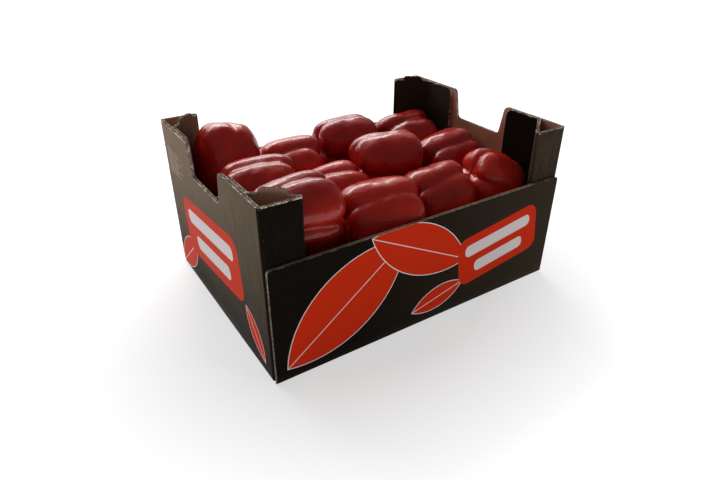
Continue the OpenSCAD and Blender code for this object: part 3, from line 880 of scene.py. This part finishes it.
def print_material(name, leaves, label, rules=False):
    """Dark ink with leaves and a label, with brown painted light in places, over board whose flutes show
    faintly.
    """
    g = Graph(name)
    sheet = g.attribute("sheet")
    along, up, _ = g.parts(sheet)
    place = g.stretched(sheet, MM, MM, MM)
    colour = INK
    for leaf in leaves:
        colour = draw_leaf(g, colour, along, up, leaf)
    if label:
        colour = draw_label(g, colour, along, up, label)
    flutes_up = name != "print_long"
    run = (1.0, 0.05, 1.0) if flutes_up else (0.05, 1.0, 1.0)
    streak = g.noise(g.stretched(place, *run), 420.0, 3.0, 0.6)
    grain = 1.0 if flutes_up else 0.3
    if name != "print_base":
        # Brown painted light over the dark ink: sheen at the top of the end sheets, and lighter towards one
        # end of the long walls.
        ink = g.within(g.parts(colour)[0], 2 * INK[0])
        painted_light = painted_sheen_of_end(g, along, up, streak) if flutes_up else painted_light_of_long(g, along)
        colour = g.mix(g.mul(painted_light, ink), colour, PAINTED_LIGHT_BROWN)
    if rules:
        colour = draw_rules(g, colour, along, up)
    cloud = g.noise(place, 14.0, 3.0)
    scuff = g.ramp(g.noise(g.stretched(place, 1.0, 0.3, 1.0), 160.0, 4.0, 0.7), 0.66, 0.8)
    colour = g.mix(g.mul(g.ramp(streak, 0.45, 0.8), 0.03 * grain), colour, STREAK_BROWN)
    colour = g.mix(g.mul(scuff, 0.06), colour, SCUFF_BROWN)
    wear = g.attribute("wear", "Fac")
    worn = g.mul(wear, g.ramp(g.noise(place, 330.0, 3.0, 0.7), 0.46, 0.62))
    colour = g.mix(g.ramp(worn, 0.5, 0.95, 0.0, 0.5), colour, WORN_BROWN)
    colour = g.mix(g.mul(g.ramp(wear, *TICK_WEAR), draw_ticks(g, place, up)), colour, TICK)
    g.set(Base_Color=colour, IOR=1.05, Specular_IOR_Level=0.5)
    g.set(Sheen_Weight=0.06, Sheen_Roughness=0.35, Sheen_Tint=(1.0, 0.66, 0.38, 1))
    g.set(Roughness=g.ramp(g.add(cloud, g.mul(streak, 0.6 * grain)), 0.5, 1.1, 0.32, 0.46))
    across = along if flutes_up else up
    wash = g.math("SINE", g.mul(across, 2 * math.pi / FLUTE_PITCH))
    height = g.add(g.mul(wash, 0.05), g.add(g.mul(streak, 0.30 * grain), g.mul(cloud, 1.6)))
    g.bump(height, 0.35, 0.0011)
    return g.material


KRAFT_LIGHT, KRAFT_DARK = (0.490, 0.215, 0.130, 1), (0.250, 0.100, 0.060, 1)
FLECK = (0.125, 0.050, 0.030, 1)
# Painted light: the bare board is paler towards the top of the posts, where more light falls.
PAINTED_LIGHT_KRAFT, PAINTED_LIGHT_H, PAINTED_LIGHT_SHARE = (0.60, 0.41, 0.30, 1), 30.0, 0.6
EDGE_DARK, EDGE_PALE = (0.17, 0.12, 0.09, 1), (0.60, 0.47, 0.37, 1)
# Painted shade in the hollow flutes of a cut edge.
HOLLOW_SHADE = (0.035, 0.022, 0.014, 1)


def kraft_material():
    """Bare brown board with fibres, flecks, the faint washboard of its flutes, and painted light towards
    the top of the posts.
    """
    g = Graph("board_inside")
    sheet = g.attribute("sheet")
    along, up, _ = g.parts(sheet)
    place = g.stretched(sheet, MM, MM, MM)
    fibre = g.noise(g.stretched(place, 1.0, 0.35, 1.0), 900.0, 4.0, 0.7)
    cloud = g.noise(place, 30.0, 3.0)
    fleck = g.ramp(g.noise(place, 1300.0, 2.0), 0.70, 0.80)
    wash = g.math("SINE", g.mul(along, 2 * math.pi / FLUTE_PITCH))
    tone = g.add(g.mul(fibre, 0.7), g.add(g.mul(cloud, 0.5), g.mul(wash, 0.02)))
    colour = g.mix(g.ramp(tone, 0.35, 0.85), KRAFT_DARK, KRAFT_LIGHT)
    # Painted light: paler towards the top of the posts.
    colour = g.mix(g.ramp(up, POST_H - PAINTED_LIGHT_H, POST_H + TAB_H, 0.0, PAINTED_LIGHT_SHARE), colour, PAINTED_LIGHT_KRAFT)
    colour = g.mix(g.mul(fleck, 0.5), colour, FLECK)
    g.set(Base_Color=colour, Specular_IOR_Level=0.15, Roughness=g.ramp(fibre, 0.3, 0.7, 0.75, 0.92))
    g.bump(g.add(fibre, g.mul(wash, 0.15)), 0.3, 0.0006)
    return g.material


def edge_material():
    """Cut board: pale liners, the wavy ply between them on edges that have no modelled groove, and painted
    shade in the hollows.
    """
    g = Graph("board_edge")
    sheet = g.attribute("sheet")
    _, up, depth = g.parts(sheet)
    place = g.stretched(sheet, MM, MM, MM)
    swing = BOARD / 2 - LINER - MEDIUM / 2
    wave = g.mul(g.math("SINE", g.mul(up, 2 * math.pi / FLUTE_PITCH)), swing)
    from_middle = g.sub(depth, BOARD / 2)
    ply = g.line(g.sub(from_middle, wave), MEDIUM * 1.6)
    liner = g.beyond(g.math("ABSOLUTE", from_middle), BOARD / 2 - LINER)
    rim = g.line(g.sub(g.attribute("wear", "Fac"), RIM_WEAR), 0.4)
    shown = g.math("MAXIMUM", g.math("MAXIMUM", ply, liner), rim)
    fibre = g.noise(place, 700.0, 4.0, 0.7)
    colour = g.mix(shown, HOLLOW_SHADE, g.mix(fibre, EDGE_DARK, EDGE_PALE))
    colour = g.mix(draw_ticks(g, place, up), colour, TICK)
    g.set(Base_Color=colour, Roughness=g.ramp(fibre, 0.3, 0.7, 0.8, 0.95), Specular_IOR_Level=0.1)
    g.bump(fibre, 0.5, 0.0008)
    return g.material


def build_carton():
    """Two end sheets and two long walls, each pair half a turn apart, and the base."""
    shell = Shell()
    half_turn = np.array([[-1.0, 0.0], [0.0, -1.0]])
    for turn in (np.eye(2), half_turn):
        add_sheet(shell, end_path(), turn, PRINT_END)
        add_sheet(shell, long_path(), turn, PRINT_LONG)
    add_base(shell)
    materials = [
        print_material("print_end", END_LEAVES, END_LABEL, rules=True),
        kraft_material(),
        edge_material(),
        print_material("print_base", (), None),
        print_material("print_long", FRONT_LEAVES, FRONT_LABEL),
    ]
    attributes = {"sheet": shell.sheet, "wear": shell.wear}
    made = mesh_object("carton_sheet", shell.points, shell.faces, materials, shell.kinds, attributes)
    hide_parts("carton")
    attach(made, "root")


# Stage

FLOOR_HALF, FLOOR_Z = 14.0, -0.2
FLOOR_COOL, FLOOR_PALE = (0.39, 0.395, 0.40, 1), (0.42, 0.42, 0.42, 1)
# The floor glows a little, less so in an oval of painted shadow round the carton that is measured in half
# sizes of the carton.
PAINTED_SHADOW_MIDDLE, PAINTED_SHADOW_REACH = (-0.04, -0.04), (1.0, 2.25)
GLOW_IN_PAINTED_SHADOW, GLOW_FAR = 0.60, 0.92


def build_floor():
    """A wide pale floor just under the carton, whose glow takes the place of a studio's bounce light and is
    dimmer in an oval of painted shadow round the carton.
    """
    reach = FLOOR_HALF / MM
    points = [(x * reach, y * reach, FLOOR_Z) for x, y in ((-1, -1), (1, -1), (1, 1), (-1, 1))]
    g = Graph("floor_pale")
    place = g.node("ShaderNodeTexCoord").outputs["Object"]
    cloud = g.noise(place, 3.0, 2.0)
    g.set(Base_Color=g.mix(cloud, FLOOR_COOL, FLOOR_PALE))
    g.set(Roughness=0.9, Specular_IOR_Level=0.05)
    x, y, _ = g.parts(place)
    size_x, size_y = (high - low for high, low in zip(cad_box[1][:2], cad_box[0][:2]))
    x = g.mul(g.sub(x, PAINTED_SHADOW_MIDDLE[0]), 2 / size_x)
    y = g.mul(g.sub(y, PAINTED_SHADOW_MIDDLE[1]), 2 / size_y)
    # Painted shadow: the glow is dimmer in an oval round the carton.
    far = g.ramp(g.long(x, y), *PAINTED_SHADOW_REACH, GLOW_IN_PAINTED_SHADOW, GLOW_FAR)
    g.set(Emission_Color=g.node("ShaderNodeCombineColor", {0: far, 1: far, 2: far}).outputs[0])
    g.set(Emission_Strength=1.0)
    floor = mesh_object("floor", points, [(0, 1, 2, 3)], [g.material])


# The dome is brightest along this way and falls off by a power of the angle's cosine.
SKY_WAY = Vector((0.10, 0.885, 0.455))
SKY_LOW, SKY_HIGH, SKY_FALL = 0.13, 2.9, 7.0
BOX_POWER, BOX_SIZE = 12, (1.7, 0.24)
BOX_PLACE, BOX_TURN = (0.1, 1.15, 1.05), (-48, 0, 4)


def build_dome():
    """A soft dome that is bright behind the carton and dim elsewhere."""
    world = bpy.data.worlds.new("studio")
    bpy.context.scene.world = world
    world.use_nodes = True
    tree = world.node_tree
    way = tree.nodes.new("ShaderNodeTexCoord").outputs["Generated"]
    facing = tree.nodes.new("ShaderNodeVectorMath")
    facing.operation = "DOT_PRODUCT"
    facing.inputs[1].default_value = SKY_WAY
    tree.links.new(way, facing.inputs[0])
    front = tree.nodes.new("ShaderNodeMath")
    front.operation = "MAXIMUM"
    front.inputs[1].default_value = 0.0
    tree.links.new(facing.outputs["Value"], front.inputs[0])
    fall = tree.nodes.new("ShaderNodeMath")
    fall.operation = "POWER"
    fall.inputs[1].default_value = SKY_FALL
    tree.links.new(front.outputs[0], fall.inputs[0])
    strength = tree.nodes.new("ShaderNodeMapRange")
    strength.inputs["To Min"].default_value = SKY_LOW
    strength.inputs["To Max"].default_value = SKY_HIGH
    tree.links.new(fall.outputs[0], strength.inputs["Value"])
    shade = tree.nodes["Background"]
    shade.inputs["Color"].default_value = (1.0, 1.0, 1.0, 1)
    tree.links.new(strength.outputs[0], shade.inputs["Strength"])


def build_box_light():
    """A long soft box behind and above the carton."""
    data = bpy.data.lights.new("back_box", "AREA")
    data.energy = BOX_POWER
    data.shape = "RECTANGLE"
    data.size, data.size_y = BOX_SIZE
    made = bpy.data.objects.new("back_box", data)
    made.location = BOX_PLACE
    made.rotation_euler = [math.radians(a) for a in BOX_TURN]
    bpy.context.scene.collection.objects.link(made)


LENS, SENSOR = 28.195, 36.0
CAMERA_PLACE = (-0.3595, -0.5476, 0.4232)
CAMERA_YAW, CAMERA_DOWN, CAMERA_ROLL = -33.31, 30.33, 0.22


def build_camera():
    """The camera that was solved from the carton's corners in the photograph."""
    data = bpy.data.cameras.new("camera")
    data.lens = LENS
    data.sensor_width = SENSOR
    made = bpy.data.objects.new("camera", data)
    turn = Matrix.Rotation(math.radians(CAMERA_YAW), 4, "Z")
    turn = turn @ Matrix.Rotation(math.radians(90 - CAMERA_DOWN), 4, "X")
    turn = turn @ Matrix.Rotation(math.radians(CAMERA_ROLL), 4, "Z")
    made.matrix_world = Matrix.Translation(CAMERA_PLACE) @ turn
    bpy.context.scene.collection.objects.link(made)
    bpy.context.scene.camera = made


bpy.context.scene.view_settings.view_transform = "Standard"
build_peppers()
build_carton()
build_floor()
build_dome()
build_box_light()
build_camera()
